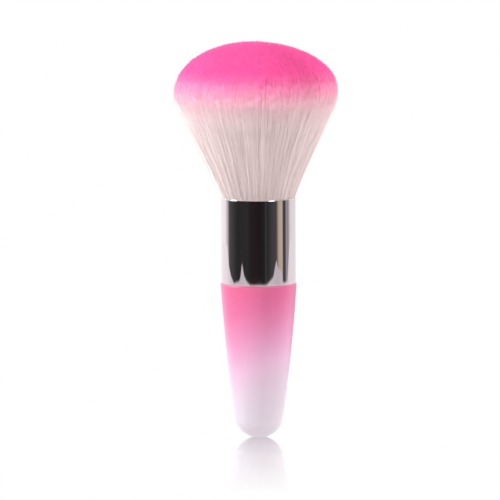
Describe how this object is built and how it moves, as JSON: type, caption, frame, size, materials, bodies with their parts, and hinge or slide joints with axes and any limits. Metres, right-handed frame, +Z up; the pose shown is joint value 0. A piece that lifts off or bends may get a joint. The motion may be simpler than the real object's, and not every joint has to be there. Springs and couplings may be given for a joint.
{
  "type": "nail dust brush",
  "caption": "Small upright brush with a flared, domed tuft of fine pink-tipped filament, a plain polished ferrule and a tapered round-ended handle, for sweeping dust off nails.",
  "frame": {"origin": "centre of the small flat foot that the rounded end of the handle stands on", "axes": "+Z up along the brush's axis, from the foot to the crown of the tuft; the brush is a body of revolution, so X and Y are free, and -Y is taken as the front"},
  "size_m": [0.0488, 0.0488, 0.1182],
  "materials": {
    "handle_lacquer": "satin lacquer, rose pink at the shoulder fading to pale lilac white at the foot",
    "glue": "cured, cloudy",
    "ferrule_metal": "mirror polished",
    "resin": "cast, amber, slightly cloudy",
    "thread": "twisted",
    "filament": "fine soft filament, off-white with hot pink dipped tips"
  },
  "bodies": {
    "root": {"handle": "handle_lacquer", "neck_glue": "glue", "ferrule": "ferrule_metal", "root_resin": "resin", "binding_thread": "thread", "filament_tuft": "filament"}
  },
  "joints": []
}
